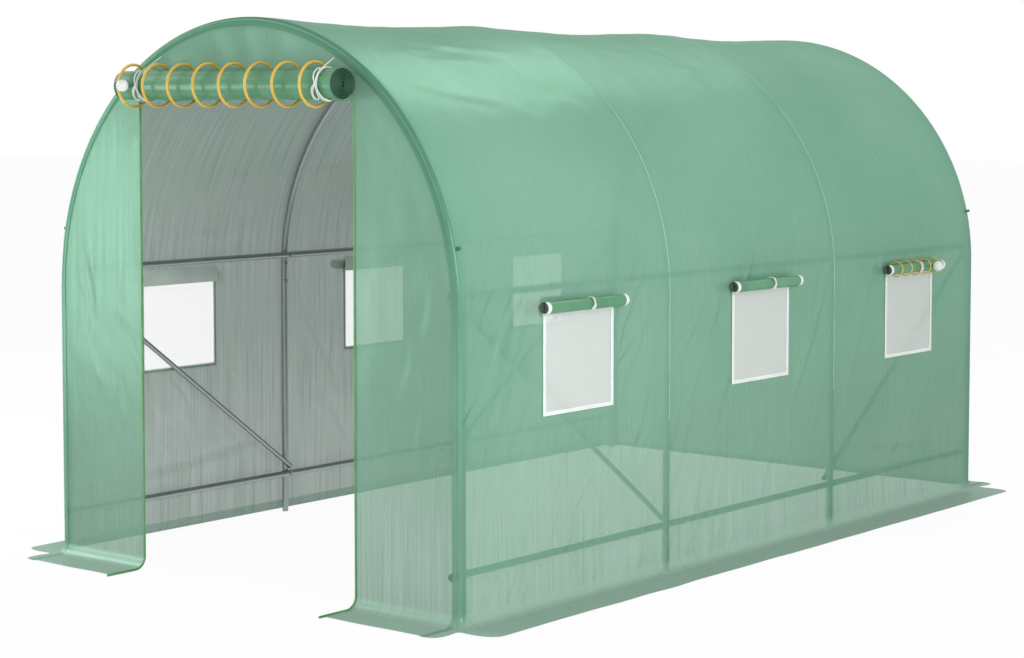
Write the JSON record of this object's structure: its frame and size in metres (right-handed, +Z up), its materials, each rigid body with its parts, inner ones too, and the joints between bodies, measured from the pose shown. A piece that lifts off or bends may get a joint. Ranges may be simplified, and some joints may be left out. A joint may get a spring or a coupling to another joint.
{
  "type": "polytunnel greenhouse",
  "caption": "Walk-in polytunnel greenhouse: tube hoop frame under a woven green cover, with a roll-up door, roll-up net windows and a ground skirt.",
  "frame": {"origin": "on the ground, in the middle of the plan", "axes": "+Z up, +Y along the tunnel towards the rear wall, the door faces -Y, +X to the right seen from the door side"},
  "size_m": [2.36, 3.8926, 2.0249],
  "materials": {
    "steel_tube": "galvanised steel tube, satin",
    "cover": "woven polyethylene sheet, translucent green, satin",
    "skirt": "woven polyethylene sheet, translucent green, satin",
    "rolled_cover": "woven polyethylene sheet rolled up, satin",
    "piping": "green woven edge binding, satin",
    "yellow_ring": "yellow plastic rod",
    "string": "white braided string",
    "ball": "white moulded plastic",
    "window_border": "white webbing, sewn",
    "window_net": "fine white insect net"
  },
  "bodies": {
    "root": {"front_left_leg": "steel_tube", "front_right_leg": "steel_tube", "front_arch": "steel_tube", "second_left_leg": "steel_tube", "second_right_leg": "steel_tube", "second_arch": "steel_tube", "third_left_leg": "steel_tube", "third_right_leg": "steel_tube", "third_arch": "steel_tube", "rear_left_leg": "steel_tube", "rear_right_leg": "steel_tube", "rear_arch": "steel_tube", "ridge_rail": "steel_tube", "left_side_rail": "steel_tube", "right_side_rail": "steel_tube", "left_base_rail": "steel_tube", "right_base_rail": "steel_tube", "front_left_brace": "steel_tube", "front_right_brace": "steel_tube", "rear_left_brace": "steel_tube", "rear_right_brace": "steel_tube", "left_cover": "cover", "right_cover": "cover", "roof_cover": "cover", "front_wall_left": "cover", "front_wall_right": "cover", "front_wall_top": "cover", "rear_wall": "cover", "left_skirt": "skirt", "right_skirt": "skirt", "front_left_skirt": "skirt", "front_right_skirt": "skirt", "rear_skirt": "skirt", "door_roll": "rolled_cover", "door_ties": "string", "door_rings": "yellow_ring", "door_piping": "piping", "ball_toggles": "ball", "left_window_borders": "window_border", "right_window_borders": "window_border", "window_nets": "window_net", "left_window_rolls": "rolled_cover", "right_window_rolls": "rolled_cover", "window_ties": "string", "window_rings": "yellow_ring"}
  },
  "joints": []
}
